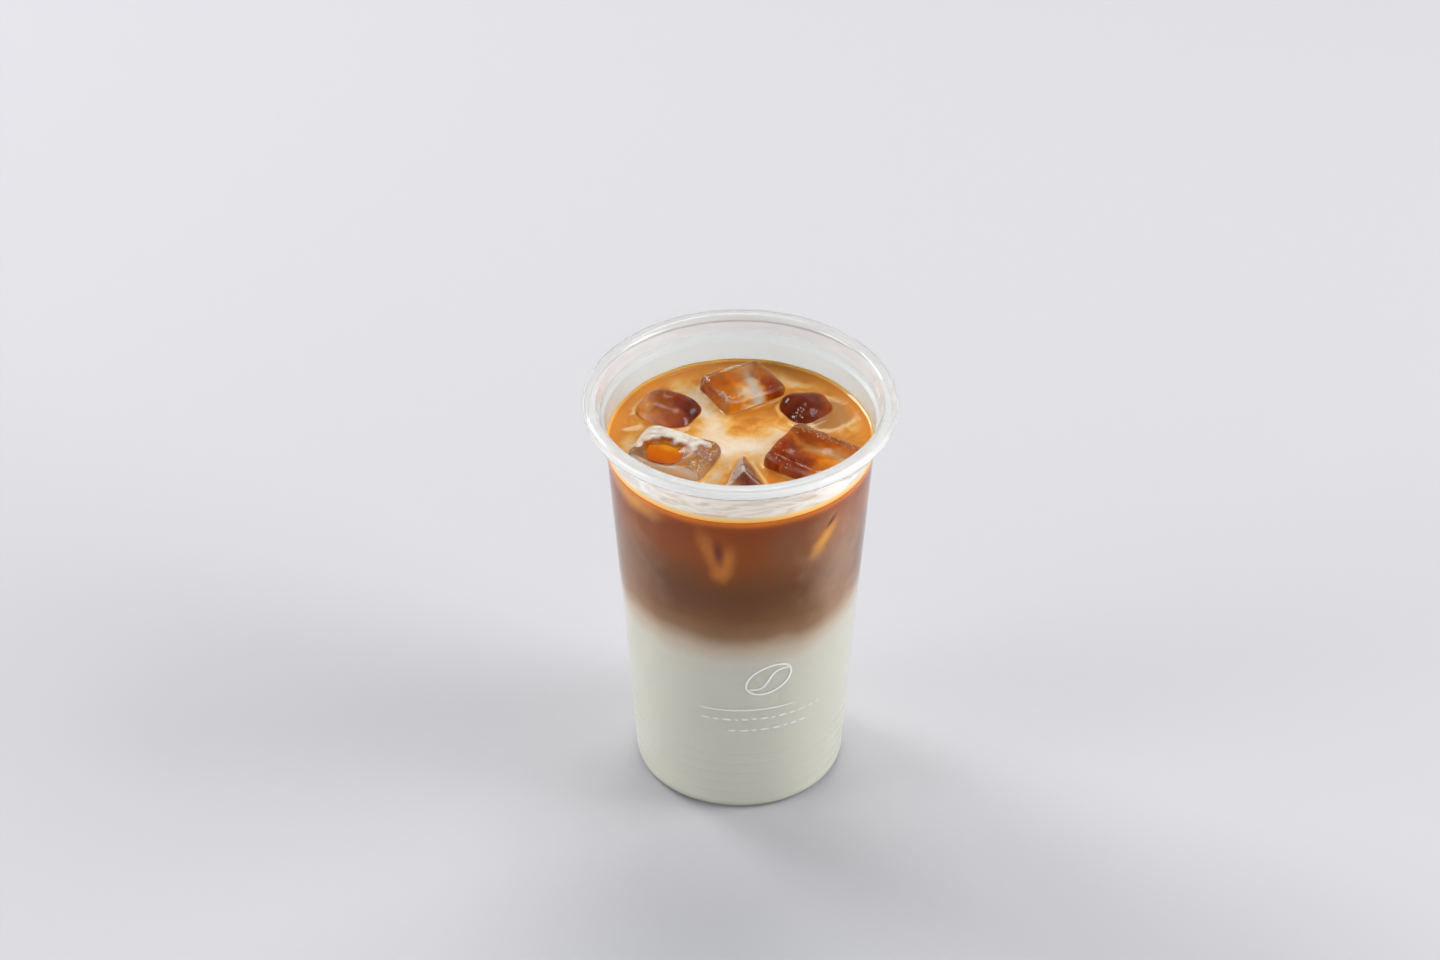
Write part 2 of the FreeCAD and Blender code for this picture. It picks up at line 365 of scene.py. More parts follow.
def make_block(block):
    """A worn block: each face of a cube is a grid whose points lie at edge radius from an inner box.

    Every point then moves along that radius by a smooth ripple, which is the melt.
    """
    spread = np.sin(np.linspace(-math.pi / 2, math.pi / 2, ICE_GRID))
    u, v = np.meshgrid(spread, spread, indexing="ij")
    sides = [np.stack(side, -1) for side in (
        (u, v, 0 * u + 1), (v, u, 0 * u - 1), (0 * u + 1, u, v), (0 * u - 1, v, u), (v, 0 * u + 1, u),
        (u, 0 * u - 1, v))]
    cube = np.stack(sides)
    half = np.array([block.length, block.width, block.depth]) / 2
    core = np.clip(cube * half, block.edge - half, half - block.edge)
    radius = cube * half - core
    radius /= np.linalg.norm(radius, axis=-1, keepdims=True)
    local = core + radius * block.edge
    seed = len(block.name) + int(block.length * 1e4)
    local = local + radius * (MELT * ripple(local, MELT_WAVE, seed))[..., None]
    if block.dimple:
        top = eased(radius[..., 2], 0.5, 0.95)
        local[..., 2] -= top * dimple_drop(local)
    points = local.reshape(-1, 3)
    index = np.arange(len(points)).reshape(6, ICE_GRID, ICE_GRID)
    faces = np.stack([index[:, :-1, :-1], index[:, 1:, :-1], index[:, 1:, 1:], index[:, :-1, 1:]], -1)
    whole = (cube.reshape(-1, 3) * 1e6).round().astype(np.int64)
    _, first, where = np.unique(whole, axis=0, return_index=True, return_inverse=True)
    placed = points[first] @ axes_of(block).T + centre_of(block)
    piece = publish(block.name + "_block", placed, where.reshape(-1)[faces.reshape(-1, 4)])
    outward = radius.reshape(-1, 3)[first]
    lines = edge_frost_and_glint(block, points[first], outward, seed + 3)
    # The frost attribute: face frost, the ring round the hollow, and the edge lines, which are partly
    # painted highlight.
    frost = np.maximum(face_share(FROSTED, block, outward) + lines, rim_frost(block, points[first]))
    note(piece, "frost", frost)
    # Painted shade: how much brown each point's face gets.
    note(piece, "stain", face_share(SHADED_FACES, block, outward))
    return piece


def face_share(looks, block, outward):
    """The look's number for each point: that of the face which it belongs to, eased over the edges."""
    values = looks.get(block.name, (0,) * 5)
    sides = np.stack([outward[:, 0], -outward[:, 0], outward[:, 1], -outward[:, 1], outward[:, 2]], 1)
    return (eased(sides, 0.45, 0.9) * np.array(values)).sum(1)


def edge_frost_and_glint(block, local, outward, seed):
    """Broken white lines along the upper edges, where a point's radius slants up, fainter on round ones:
    frost, and a painted highlight where those edges face the light.
    """
    slanting = np.exp(-((outward[:, 2] - 0.62) / 0.2) ** 2)
    broken = eased(ripple(local, 0.018, seed), -0.6, 0.5)
    return slanting * broken * (EDGE_FROST_AND_GLINT * min(1, (SHARP_EDGE / block.edge) ** 2))


def rim_frost(block, local):
    """A ragged ring of frost round the hollow: none at the front, and little on the block's right end."""
    if not block.dimple:
        return np.zeros(len(local))
    away = hollow_reach(local)
    ragged = 0.12 * ripple(local, 0.0035, 41)
    rim = eased(away + ragged, 0.66, 1.0) * (1 - eased(away + ragged, 1.55, 1.95))
    rim *= 1 - 0.75 * eased(local[:, 0], 0.0050, 0.0085) * (1 - eased(local[:, 1], 0.003, 0.006))
    ends = eased(local[:, 1] - 0.15 * local[:, 0] + 0.01 * ragged, -0.0065, -0.0020)
    return 0.9 * rim * eased(local[:, 2], -0.003, 0.004) * ends * (0.85 + 0.2 * ripple(local, 0.003, 44))


def make_pool():
    """Coffee in the hollow of the ice: a closed lens, flat on top and round below."""
    block = next(block for block in BLOCKS if block.dimple)
    share = np.linspace(0, 1, 14)[:, None]
    angle = np.linspace(0, 2 * math.pi, 64, endpoint=False)
    reach = POOL_RADIUS * (1 + 0.06 * np.sin(3 * angle + 1) + 0.04 * np.sin(5 * angle))
    x = HOLLOW[0] + POOL_SHIFT[0] + share * reach * np.cos(angle)
    y = HOLLOW[1] + POOL_SHIFT[1] + share * reach * np.sin(angle) * np.where(np.sin(angle) < 0, 0.9, 0.8)
    top = block.depth / 2 - POOL_DROP + POOL_MENISCUS * share ** 4 + 0 * angle
    bottom = top - POOL_DEPTH * np.sqrt(1 - share ** 2)
    rows = np.concatenate([np.stack([x, y, bottom], -1), np.stack([x, y, top], -1)[-2::-1]])
    points, faces, _ = wound(rows)
    piece = publish("coffee_pool", points @ axes_of(block).T + centre_of(block), faces)
    note(piece, "share", 0.5 + (points[:, 1] - HOLLOW[1]) / POOL_RADIUS * 0.5)
    return piece


def make_bubbles():
    """Trapped air: small balls, each a grid of angles, scattered by seeded chance in a box of the ice."""
    dice = np.random.default_rng(31)
    up = np.linspace(0, math.pi, 6)[:, None]
    about = np.linspace(0, 2 * math.pi, 8, endpoint=False)
    ball = np.stack([np.sin(up) * np.cos(about), np.sin(up) * np.sin(about), np.cos(up) + 0 * about], -1)
    points, faces, _ = wound(ball)
    places, sizes = [], []
    for swarm in SWARMS:
        block = BLOCKS[swarm.block]
        local = np.array(swarm.middle) + dice.uniform(-1, 1, (swarm.count, 3)) * np.array(swarm.spread)
        half = np.array([block.length, block.width, block.depth]) / 2 - BUBBLE_COVER
        places.append(np.clip(local, -half, half) @ axes_of(block).T + centre_of(block))
        sizes.append(dice.uniform(0.4, 1.0, swarm.count) ** 2 * swarm.size)
    places, sizes = np.concatenate(places), np.concatenate(sizes)
    everything = places[:, None] + sizes[:, None, None] * points
    numbers = faces + len(points) * np.arange(len(places))[:, None, None]
    return publish("ice_bubbles", everything.reshape(-1, 3), numbers.reshape(-1, 4))


# ---------------------------------------------------------------- drink

# Pale foam that floats on the drink: middle, half length and half width in metres, turn, strength
Foam = namedtuple("Foam", "x y length width turn strength")
FOAM = [
    Foam(0.0010, -0.0045, 0.0130, 0.0072, 0, 0.95),
    Foam(-0.0095, 0.0040, 0.0070, 0.0045, 100, 0.55),
    Foam(-0.0135, 0.0195, 0.0120, 0.0036, 118, 0.85),
    Foam(0.0110, 0.0040, 0.0050, 0.0036, 55, 0.50),
    Foam(-0.0080, -0.0190, 0.0070, 0.0030, 70, 0.70),
    Foam(0.0125, -0.0125, 0.0040, 0.0022, 40, 0.30),
    Foam(-0.0350, -0.0030, 0.0060, 0.0026, 60, 0.45),
    Foam(0.0360, 0.0060, 0.0060, 0.0030, 100, 0.30),
    Foam(0.0160, 0.0310, 0.0080, 0.0024, -25, 0.45),
    Foam(0.0000, 0.0368, 0.0100, 0.0026, -5, 0.60),
    Foam(-0.0250, -0.0250, 0.0090, 0.0030, -40, 0.50),
    Foam(0.0250, -0.0270, 0.0080, 0.0024, 40, 0.40),
]
# What shows through the ice, in the same way: lighter places, and darker ones, whose strength is less
# than nothing
UNDER_ICE = [
    Foam(-0.0162, 0.0130, 0.0050, 0.0100, 0, -0.28),
    Foam(-0.0285, 0.0190, 0.0040, 0.0040, 0, 0.20),
    Foam(0.0035, 0.0245, 0.0130, 0.0034, 100, 0.80),
    Foam(-0.0040, 0.0240, 0.0060, 0.0050, 30, 0.08),
    Foam(0.0115, 0.0250, 0.0035, 0.0090, 20, -0.12),
    # Painted shade: darker along the left face of ice_back.
    Foam(-0.0055, 0.0190, 0.0100, 0.0020, -58, -0.35),
    Foam(0.0190, 0.0160, 0.0090, 0.0080, 0, -0.20),
    Foam(0.0260, -0.0060, 0.0120, 0.0020, -30, 0.40),
    Foam(0.0160, -0.0120, 0.0070, 0.0090, -30, -0.20),
    Foam(0.0310, -0.0130, 0.0090, 0.0080, -30, 0.10),
    Foam(-0.0110, -0.0130, 0.0080, 0.0070, 60, 0.62),
    Foam(-0.0230, -0.0150, 0.0100, 0.0050, -30, 0.55),
    Foam(-0.0320, -0.0070, 0.0050, 0.0050, 0, 0.40),
    Foam(-0.0040, -0.0220, 0.0040, 0.0030, 80, 0.90),
    Foam(0.0070, -0.0200, 0.0040, 0.0020, 100, 0.35),
    Foam(0.0015, -0.0200, 0.0030, 0.0050, 0, -0.25),
]
AMBER = 0.22            # lightness of the rest of what shows through the ice
# Cloudy places under the ice
MURKY = [
    Foam(-0.0250, 0.0150, 0.0055, 0.0080, 0, 0.85),
    # Painted shade: purple-brown along the left face of ice_back.
    Foam(-0.0055, 0.0190, 0.0100, 0.0024, -58, 0.70),
    Foam(0.0180, -0.0060, 0.0050, 0.0030, -30, 0.55),
    Foam(-0.0110, -0.0140, 0.0050, 0.0070, 60, 0.40),
    Foam(0.0015, -0.0200, 0.0090, 0.0060, 0, 0.70),
]
# Ice that lies just under the surface, where the drink is browner
SUNK = [
    Foam(0.0290, 0.0130, 0.0090, 0.0062, 55, 1.0),
    Foam(-0.0330, 0.0150, 0.0050, 0.0016, 40, 0.38),
    Foam(-0.0335, 0.0050, 0.0050, 0.0014, 5, 0.38),
]


def ice_gap(points):
    """Distance from the nearest block, less than nothing inside one."""
    return np.min([block_distance(block, points) for block in BLOCKS], axis=0)


def patches(points, foams):
    """How much foam lies at a place: soft ellipses with edges pulled about by ripples, added up.

    The ripples come in two sizes: how far they pull, their wavelength and the seeds for x and y.
    """
    pulled = points[..., :2]
    for pull, wavelength, seeds in ((0.0014, 0.012, (21, 22)), (0.0005, 0.0035, (23, 24))):
        pulled = pulled + pull * np.stack([ripple(points, wavelength, seed) for seed in seeds], -1)
    cover = np.zeros(points.shape[:-1])
    for foam in foams:
        turn = math.radians(foam.turn)
        x, y = pulled[..., 0] - foam.x, pulled[..., 1] - foam.y
        along = (x * math.cos(turn) + y * math.sin(turn)) / foam.length
        across = (y * math.cos(turn) - x * math.sin(turn)) / foam.width
        cover += foam.strength * np.exp(-(along ** 2 + across ** 2))
    return cover


def foam_cover(points, gap):
    """Foam of the open surface, with a thin line along parts of the ice, or the lightness under the ice."""
    line = np.exp(-((gap - FOAM_LINE) / FOAM_LINE_WIDTH) ** 2) * eased(ripple(points, 0.016, 27), -0.2, 0.8)
    under = AMBER + patches(points, UNDER_ICE)
    return np.clip(np.where(gap < UNDER_BLOCK, under, patches(points, FOAM) + 0.5 * line), 0, 1)


def surface_height(points, edge):
    """Height of the drink over its level, and the distance from the ice.

    The drink climbs the wall and the ice by a curve that falls off with distance, and under a block it
    drops smoothly to the foot of a well.
    """
    gap = ice_gap(points)
    wall = MENISCUS * np.exp(-(edge - np.hypot(points[..., 0], points[..., 1])) / MENISCUS_REACH)
    climb = ICE_CLIMB * np.exp(-np.maximum(gap, 0) / ICE_CLIMB_REACH)
    well = WELL_DEPTH * eased(-gap, WELL_INSET, WELL_SLOPE) * (1 + 0.12 * ripple(points, 0.006, 8))
    wave = WAVES * ripple(points, 0.014, 5)
    return np.where(gap < 0, climb - well, wall + climb + wave), gap


def make_milk():
    """The milk: the inside of the cup up to the coffee, reaching just into the plastic."""
    floor = bent(moved(wall_corners(), WALL_BITE))
    floor = floor[floor[:, 1] < MILK_LEVEL]
    wall = np.append(np.linspace(floor[-1, 1], MILK_LEVEL, 30)[1:-1], [MILK_LEVEL - CRISP, MILK_LEVEL])
    side = np.stack([cup_radius(wall) + WALL_BITE, wall], 1)
    line = np.concatenate([floor, side, [side[-1] - (CRISP, 0), (0, MILK_LEVEL)]])
    points, faces, _ = wound(spun(line, ROUND_CUP))
    return publish("milk", points, faces)


def make_coffee():
    """The coffee: a disc on the milk, the wall, and a surface of rings at the heights of surface_height.

    Each point keeps its distance from the ice, the foam or lightness, what is sunk or cloudy there, and
    whether it is on the open top.
    """
    heights = np.linspace(MILK_LEVEL + CRISP, DRINK_LEVEL - 0.001, 24)
    wall = np.concatenate([[MILK_LEVEL, MILK_LEVEL], heights])
    side = np.stack([cup_radius(wall) + WALL_BITE, wall], 1)
    side[0, 0] -= CRISP
    edge = cup_radius(DRINK_LEVEL + MENISCUS) + WALL_BITE
    rings = np.linspace(edge, 0, int(edge / SURFACE_STEP))
    top = np.stack([rings, np.full(len(rings), DRINK_LEVEL)], 1)
    rows = spun(np.concatenate([[[0, MILK_LEVEL]], side, top]), ROUND_DRINK)
    upper = rows[len(side) + 1:]
    height, gap = surface_height(upper, edge)
    upper[..., 2] += height
    upper[-1] = upper[-1].mean(0)
    gaps, pale, brown, open_top = (np.full(rows.shape[:2], value) for value in (0.01, 0.0, 0.0, 0.0))
    gaps[len(side) + 1:] = gap
    pale[len(side) + 1:] = foam_cover(upper, gap)
    brown[len(side) + 1:] = np.where(gap < UNDER_BLOCK, patches(upper, MURKY), patches(upper, SUNK))
    open_top[len(side) + 2:] = 1
    points, faces, used = wound(rows)
    piece = publish("coffee", points, faces)
    note(piece, "ice_gap", np.clip(gaps.ravel()[used], -0.01, 0.01))
    note(piece, "foam", pale.ravel()[used])
    note(piece, "sunk", brown.ravel()[used])
    note(piece, "open_top", open_top.ravel()[used])
    return piece


def make_cup():
    """The formed cup: the outer side of its sheet out to the free edge, and the inner side back."""
    corners = wall_corners() + lip_corners()
    inner = divided(bent(corners), WHOLE_LINE)
    outer = divided(bent(moved(corners, SHEET)), WHOLE_LINE, RIBBED_PART)
    on_wall = (outer[:, 0] > FOOT_BORE) & (outer[:, 1] < LEDGE_HEIGHT / 2)
    outer[:, 0] += np.where(on_wall, rib_lift(outer[:, 1]), 0)
    points, faces, _ = wound(spun(np.concatenate([outer, inner[::-1]]), ROUND_CUP))
    return publish("cup_shell", points, faces)


# ---------------------------------------------------------------- print

INK = 0.00005           # thickness of the ink
INK_FOOT = SHEET * 1.003        # just clear of the wall's outside
PRINT_WALL = 0.0368     # outside radius of the wall at the print
PEN = 0.00068           # width of a line
FINE_PEN = 0.00045
PEN_TAPER = 16          # either end narrows over one part in so many of a line
BEAN_MIDDLE = (0.0092, 0.0555)  # along the wall from its front, and height
BEAN_HALF_LENGTH = 0.0078
BEAN_HALF_WIDTH = 0.0052
BEAN_LEAN = 28          # degrees
CREASE_HALF_LENGTH = 0.0076
CREASE_SWAY = 0.0017
# Start, end and height
RULE = (-0.0140, 0.0190, 0.0432)
DASH_ROWS = ((-0.0130, 0.0270, 0.0392), (-0.0040, 0.0225, 0.0345))
DASH_LENGTHS = (0.0008, 0.0030)
DASH_GAP = 0.0012


def wall_point(along, height, lift):
    """Place on the outside of the wall, from arc length round it and height, lifted off it a little."""
    radius = cup_radius(height) + INK_FOOT + lift
    bearing = along / PRINT_WALL
    return np.stack([radius * np.sin(bearing), -radius * np.cos(bearing), height], -1)


def level_line(start, end, height, count):
    return np.stack([np.linspace(start, end, count), np.full(count, height)], 1)


def stroke(path, closed, width):
    """A flat pen line on the wall: a thin four-sided section carried along a path of (along, height)."""
    ahead = (np.roll(path, -1, 0) - np.roll(path, 1, 0)) if closed else np.gradient(path, axis=0)
    side = np.stack([-ahead[:, 1], ahead[:, 0]], 1) / np.linalg.norm(ahead, axis=1)[:, None] * width / 2
    swell = np.ones(len(path))
    if not closed:
        swell = np.sqrt(np.clip(np.linspace(0, 1, len(path)) * PEN_TAPER, 0, 1))
        swell = np.minimum(swell, swell[::-1])
    edges = [(path - side * swell[:, None], 0.0), (path - side * swell[:, None], INK),
             (path + side * swell[:, None], INK), (path + side * swell[:, None], 0.0)]
    rows = np.stack([wall_point(spots[:, 0], spots[:, 1], lift) for spots, lift in edges], 1)
    if closed:
        points, faces, _ = wound(rows)
        first = np.arange(4)
        last = first + 4 * (len(rows) - 1)
        joint = np.stack([last, np.roll(last, -1), np.roll(first, -1), first], -1)
        return points, np.concatenate([faces, joint])
    middle = rows.mean(1, keepdims=True)
    rows = np.concatenate([np.repeat(middle[:1], 4, 1), rows, np.repeat(middle[-1:], 4, 1)])
    points, faces, _ = wound(rows)
    return points, faces


def make_print():
    """A plain white print: the outline of a bean with its crease, a rule, and two rows of short dashes.

    The outline is an ellipse, the crease one wave of a sine along its length, and the rest level lines.
    """
    turn = np.linspace(0, 2 * math.pi, 72, endpoint=False)[:, None]
    lean = math.radians(BEAN_LEAN)
    axis, across = np.array([math.cos(lean), math.sin(lean)]), np.array([-math.sin(lean), math.cos(lean)])
    middle = np.array(BEAN_MIDDLE)
    outline = middle + BEAN_HALF_LENGTH * np.cos(turn) * axis + BEAN_HALF_WIDTH * np.sin(turn) * across
    run = np.linspace(-1, 1, 40)[:, None]
    crease = middle + CREASE_HALF_LENGTH * run * axis + CREASE_SWAY * np.sin(run * math.pi) * across
    lines = [(outline, True, PEN), (crease, False, PEN), (level_line(*RULE, 60), False, FINE_PEN)]
    dice = np.random.default_rng(4)
    for start, end, height in DASH_ROWS:
        at = start
        while at < end:
            long = dice.uniform(*DASH_LENGTHS)
            lines.append((level_line(at, at + long, height, 8), False, PEN))
            at += long + DASH_GAP
    points, faces, total = [], [], 0
    for line in lines:
        spots, corners = stroke(*line)
        points.append(spots)
        faces.append(corners + total)
        total += len(spots)
    return publish("print", np.concatenate(points), np.concatenate(faces), smooth=False)


# ---------------------------------------------------------------- materials

def linear(red, green, blue):
    """A colour written as it shows, from 0 to 255, as the shader's linear values."""
    values = np.array([red, green, blue]) / 255
    values = np.where(values <= 0.04045, values / 12.92, ((values + 0.055) / 1.055) ** 2.4)
    return (*values, 1.0)


class Finish:
    """A material with its Principled shader and short ways to add and join nodes."""

    def __init__(self, name, **sockets):
        self.material = bpy.data.materials.new(name)
        self.material.use_nodes = True
        self.nodes = self.material.node_tree.nodes
        self.links = self.material.node_tree.links
        self.shader = self.nodes["Principled BSDF"]
        self.set(self.shader, **sockets)

    def set(self, node, **sockets):
        """Sets or joins sockets, each by its name with _ for a space, or by i and its number."""
        for name, value in sockets.items():
            numbered = name[0] == "i" and name[1:].isdigit()
            socket = node.inputs[int(name[1:]) if numbered else name.replace("_", " ")]
            if isinstance(value, bpy.types.NodeSocket):
                self.links.new(value, socket)
            else:
                socket.default_value = value
        return node

    def add(self, kind, **sockets):
        return self.set(self.nodes.new(kind), **sockets)

    def coordinates(self):
        return self.add("ShaderNodeTexCoord").outputs["Object"]

    def attribute(self, name):
        node = self.nodes.new("ShaderNodeAttribute")
        node.attribute_name = name
        return node.outputs["Fac"]

    def place(self):
        """The outputs X, Y and Z of the point."""
        return self.add("ShaderNodeSeparateXYZ", i0=self.coordinates()).outputs

    def math(self, operation, first, second=0.0, third=0.0):
        node = self.nodes.new("ShaderNodeMath")
        node.operation = operation
        self.set(node, i0=first, i1=second, i2=third)
        return node.outputs[0]

    def squared(self, value):
        return self.math("MULTIPLY", value, value)

    def span(self, value, low, high, first=0.0, last=1.0):
        """first below low and last above high, with a smooth change between them."""
        node = self.nodes.new("ShaderNodeMapRange")
        node.interpolation_type = "SMOOTHSTEP"
        self.set(node, i0=value, i1=low, i2=high, i3=first, i4=last)
        return node.outputs[0]

    def noise(self, scale, detail=3.0, roughness=0.5, distortion=0.0, vector=None):
        node = self.nodes.new("ShaderNodeTexNoise")
        self.set(node, Vector=vector or self.coordinates(), Scale=scale, Detail=detail,
                 Roughness=roughness, Distortion=distortion)
        return node.outputs["Fac"]

    def swing(self, noise, width):
        """A noise as a value that swings by this width about zero."""
        return self.math("MULTIPLY_ADD", noise, width, -width / 2)

    def ramp(self, value, stops):
        node = self.nodes.new("ShaderNodeValToRGB")
        band = node.color_ramp
        band.elements.remove(band.elements[1])
        band.elements[0].position = stops[0][0]
        band.elements[0].color = stops[0][1]
        for place, colour in stops[1:]:
            band.elements.new(place).color = colour
        self.links.new(value, node.inputs[0])
        return node.outputs[0]

    def mix(self, share, first, second):
        node = self.nodes.new("ShaderNodeMix")
        node.data_type = "RGBA"
        self.set(node, i0=share, i6=first, i7=second)
        return node.outputs[2]

    def mix_value(self, share, first, second):
        node = self.nodes.new("ShaderNodeMix")
        self.set(node, i0=share, i2=first, i3=second)
        return node.outputs[0]

    def bump(self, height, strength, distance):
        node = self.add("ShaderNodeBump", Strength=strength, Distance=distance, Height=height)
        self.links.new(node.outputs[0], self.shader.inputs["Normal"])


# Colour of the drink from the foot up, seen through the wall: height and colour. The bright orange stops at
# the top are painted glow and highlight.
DRINK_COLOURS = [
    (0.000, linear(240, 239, 225)),
    (0.055, linear(240, 239, 225)),
    (0.062, linear(239, 235, 221)),
    (0.068, linear(226, 208, 184)),
    (0.074, linear(176, 134, 96)),
    (0.080, linear(152, 102, 62)),
    (0.086, linear(136, 86, 46)),
    (0.092, linear(132, 80, 36)),
    (0.098, linear(146, 84, 32)),
    (0.104, linear(166, 88, 20)),
    (0.110, linear(170, 86, 12)),
    (0.116, linear(164, 78, 4)),
    (0.1186, linear(176, 82, 2)),
    # From here up: painted glow and highlight along the top of the coffee.
    (0.1199, linear(246, 132, 8)),
    (0.1211, linear(255, 172, 42)),
    (0.1224, linear(255, 200, 90)),
]
DRINK_TOP = 0.13        # height at the end of the ramp
BORDER_DRIFT = 0.008    # of milk and coffee, up and down in all
DRIFT_ENDS = (0.1, 0.115)       # heights over which it fades
SIDE_RISE = 0.0032      # of the border, between these distances to the left and right
SIDE_FROM, SIDE_TO = 0.018, 0.034

# Sunk ice and foam that show through the wall, orange painted glow where light comes through the coffee
# round them, and pale painted reflection at the wall's sides: place round the wall, height, half sizes,
# slant, colour and strength
GLOW_WALL = 0.041       # radius at which the place round the wall is measured
Glow = namedtuple("Glow", "round height width length slant colour strength")
GLOWS = [
    Glow(0.0185, 0.1090, 0.0120, 0.0170, 0.00, (152, 106, 70), 0.65),
    Glow(0.0380, 0.0950, 0.0200, 0.0340, 0.00, (228, 192, 164), 0.56),
    Glow(-0.0420, 0.0920, 0.0190, 0.0320, 0.00, (216, 178, 150), 0.42),
    Glow(-0.0074, 0.1085, 0.0105, 0.0150, 0.10, (188, 94, 24), 0.85),
    Glow(-0.0100, 0.1090, 0.0036, 0.0130, 0.33, (232, 146, 60), 0.68),
    Glow(-0.0042, 0.1045, 0.0032, 0.0085, -0.10, (236, 148, 56), 0.80),
    Glow(-0.0068, 0.1000, 0.0042, 0.0040, 0.00, (236, 148, 60), 0.68),
    Glow(-0.0070, 0.1090, 0.0022, 0.0062, 0.10, (116, 58, 34), 0.85),
    Glow(0.0300, 0.1100, 0.0060, 0.0110, -0.75, (224, 150, 86), 0.65),
    Glow(0.0283, 0.1078, 0.0032, 0.0084, -0.70, (255, 192, 84), 0.95),
    Glow(0.0308, 0.1136, 0.0012, 0.0040, -0.80, (112, 64, 44), 0.90),
    Glow(-0.0385, 0.1182, 0.0160, 0.0048, -0.04, (255, 184, 92), 1.00),
]


def drink_side(finish):
    """Colour by height. The border of milk and coffee drifts by a noise and stands higher at the sides."""
    place = finish.place()
    rise = finish.span(finish.squared(place["X"]), SIDE_FROM**2, SIDE_TO**2, 0.0, SIDE_RISE)
    drift = finish.math("SUBTRACT", finish.swing(finish.noise(45, 3), BORDER_DRIFT), rise)
    fade = finish.span(place["Z"], *DRIFT_ENDS, 1.0, 0.0)
    height = finish.math("ADD", place["Z"], finish.math("MULTIPLY", drift, fade))
    share = finish.math("DIVIDE", height, DRINK_TOP)
    return finish.ramp(share, [(stop / DRINK_TOP, colour) for stop, colour in DRINK_COLOURS])


def with_glows(finish, colour):
    """The side colour with each glow over it (painted glow and painted reflection): a slanted ellipse, full
    in the middle, with a soft edge.
    """
    place = finish.place()
    backwards = finish.math("MULTIPLY", place["Y"], -1.0)
    along = finish.math("MULTIPLY", finish.math("ARCTAN2", place["X"], backwards), GLOW_WALL)
    rough = finish.swing(finish.noise(170, 3), 0.6)
    for glow in GLOWS:
        u = finish.math("SUBTRACT", along, glow.round)
        v = finish.math("SUBTRACT", place["Z"], glow.height)
        turned = []
        for first, second, size, sign in ((u, v, glow.width, 1), (v, u, glow.length, -1)):
            near = finish.math("MULTIPLY", first, math.cos(glow.slant) / size)
            turned.append(finish.math("MULTIPLY_ADD", second, sign * math.sin(glow.slant) / size, near))
        away = finish.math("SQRT", finish.math("ADD", *(finish.squared(value) for value in turned)))
        away = finish.math("ADD", away, rough)
        cover = finish.math("MULTIPLY", finish.span(away, 0.0, 1.15, 1.0, 0.0), glow.strength)
        colour = finish.mix(cover, colour, linear(*glow.colour))
    return colour


def milk_finish():
    finish = Finish("milk", Roughness=0.6, IOR=1.15)
    finish.set(finish.shader, Base_Color=drink_side(finish))
    return finish.material


# The drink's surface, from coffee to pale foam
TOP_COLOURS = [
    (0.00, linear(213, 128, 36)),
    (0.15, linear(226, 154, 58)),
    (0.35, linear(236, 178, 96)),
    (0.65, linear(240, 206, 160)),
    (1.00, linear(246, 228, 204)),
]
# What shows under the ice, from dark to light
DEEP_COLOURS = [
    (0.00, linear(136, 42, 0)),
    (0.12, linear(192, 82, 2)),
    (0.30, linear(248, 152, 20)),
    (0.55, linear(252, 198, 120)),
    (0.90, linear(255, 244, 222)),
]
# Distance from the axis at which the surface turns orange, and brighter against the wall: painted glow of
# light in the coffee at its edge
ORANGE_GLOW_RING = (0.0380, 0.0430)
BRIGHT_GLOW_RING = (0.0404, 0.0412)


def coffee_finish():
    """Coffee through the wall, foam and coffee on top, and the red-brown of what lies under the ice."""
    finish = Finish("coffee", Roughness=0.5, IOR=1.15, Coat_Roughness=0.06, Coat_IOR=1.4)
    gap = finish.attribute("ice_gap")
    foam = finish.attribute("foam")
    swirl = finish.noise(110, 4, 0.6, 2.5)
    top = finish.ramp(finish.math("ADD", foam, finish.math("MULTIPLY_ADD", swirl, 0.8, -0.38)), TOP_COLOURS)
    under = finish.attribute("sunk")
    sunk = finish.math("ADD", under, finish.swing(swirl, 0.3))
    top = finish.mix(finish.span(sunk, 0.14, 0.34), top, linear(240, 196, 140))
    top = finish.mix(finish.span(sunk, 0.32, 0.52), top, linear(190, 128, 62))
    place = finish.place()
    away = finish.math("ADD", finish.squared(place["X"]), finish.squared(place["Y"]))
    away = finish.math("SQRT", away)
    # Painted glow: orange round the edge of the surface, and a brighter ring against the wall.
    orange = finish.span(finish.math("MULTIPLY_ADD", swirl, 0.006, away), *ORANGE_GLOW_RING)
    top = finish.mix(orange, top, linear(224, 138, 44))
    top = finish.mix(finish.span(away, *BRIGHT_GLOW_RING), top, linear(253, 196, 96))
    patchy = finish.math("ADD", foam, finish.swing(finish.noise(90, 3, 0.5, 1.5), 0.36))
    deep = finish.ramp(patchy, DEEP_COLOURS)
    deep = finish.mix(finish.span(under, 0.1, 0.9, 0.0, 0.75), deep, linear(180, 112, 88))
    deep = finish.mix(finish.span(gap, -0.0014, 0.0, 0.0, 0.55), deep, linear(226, 150, 84))
    inside = finish.span(gap, -0.0006, 0.0001, 1.0, 0.0)
    open_top = finish.attribute("open_top")
    side = with_glows(finish, drink_side(finish))
    finish.set(finish.shader, Base_Color=finish.mix(open_top, side, finish.mix(inside, top, deep)),
               Coat_Weight=finish.math("MULTIPLY", open_top, finish.math("SUBTRACT", 1.0, inside)))
    return finish.material


# Share of the light that the dry plastic scatters
FRONT_FOG = 0.94
BACK_FOG = 0.10
LIP_EDGE_FOG = 0.96             # on the rounded edge of the lip, at the front
LIP_TOP_FOG = 0.46
LIP_UNDER_FOG = 0.25
LIP_BACK_FOG = 0.24
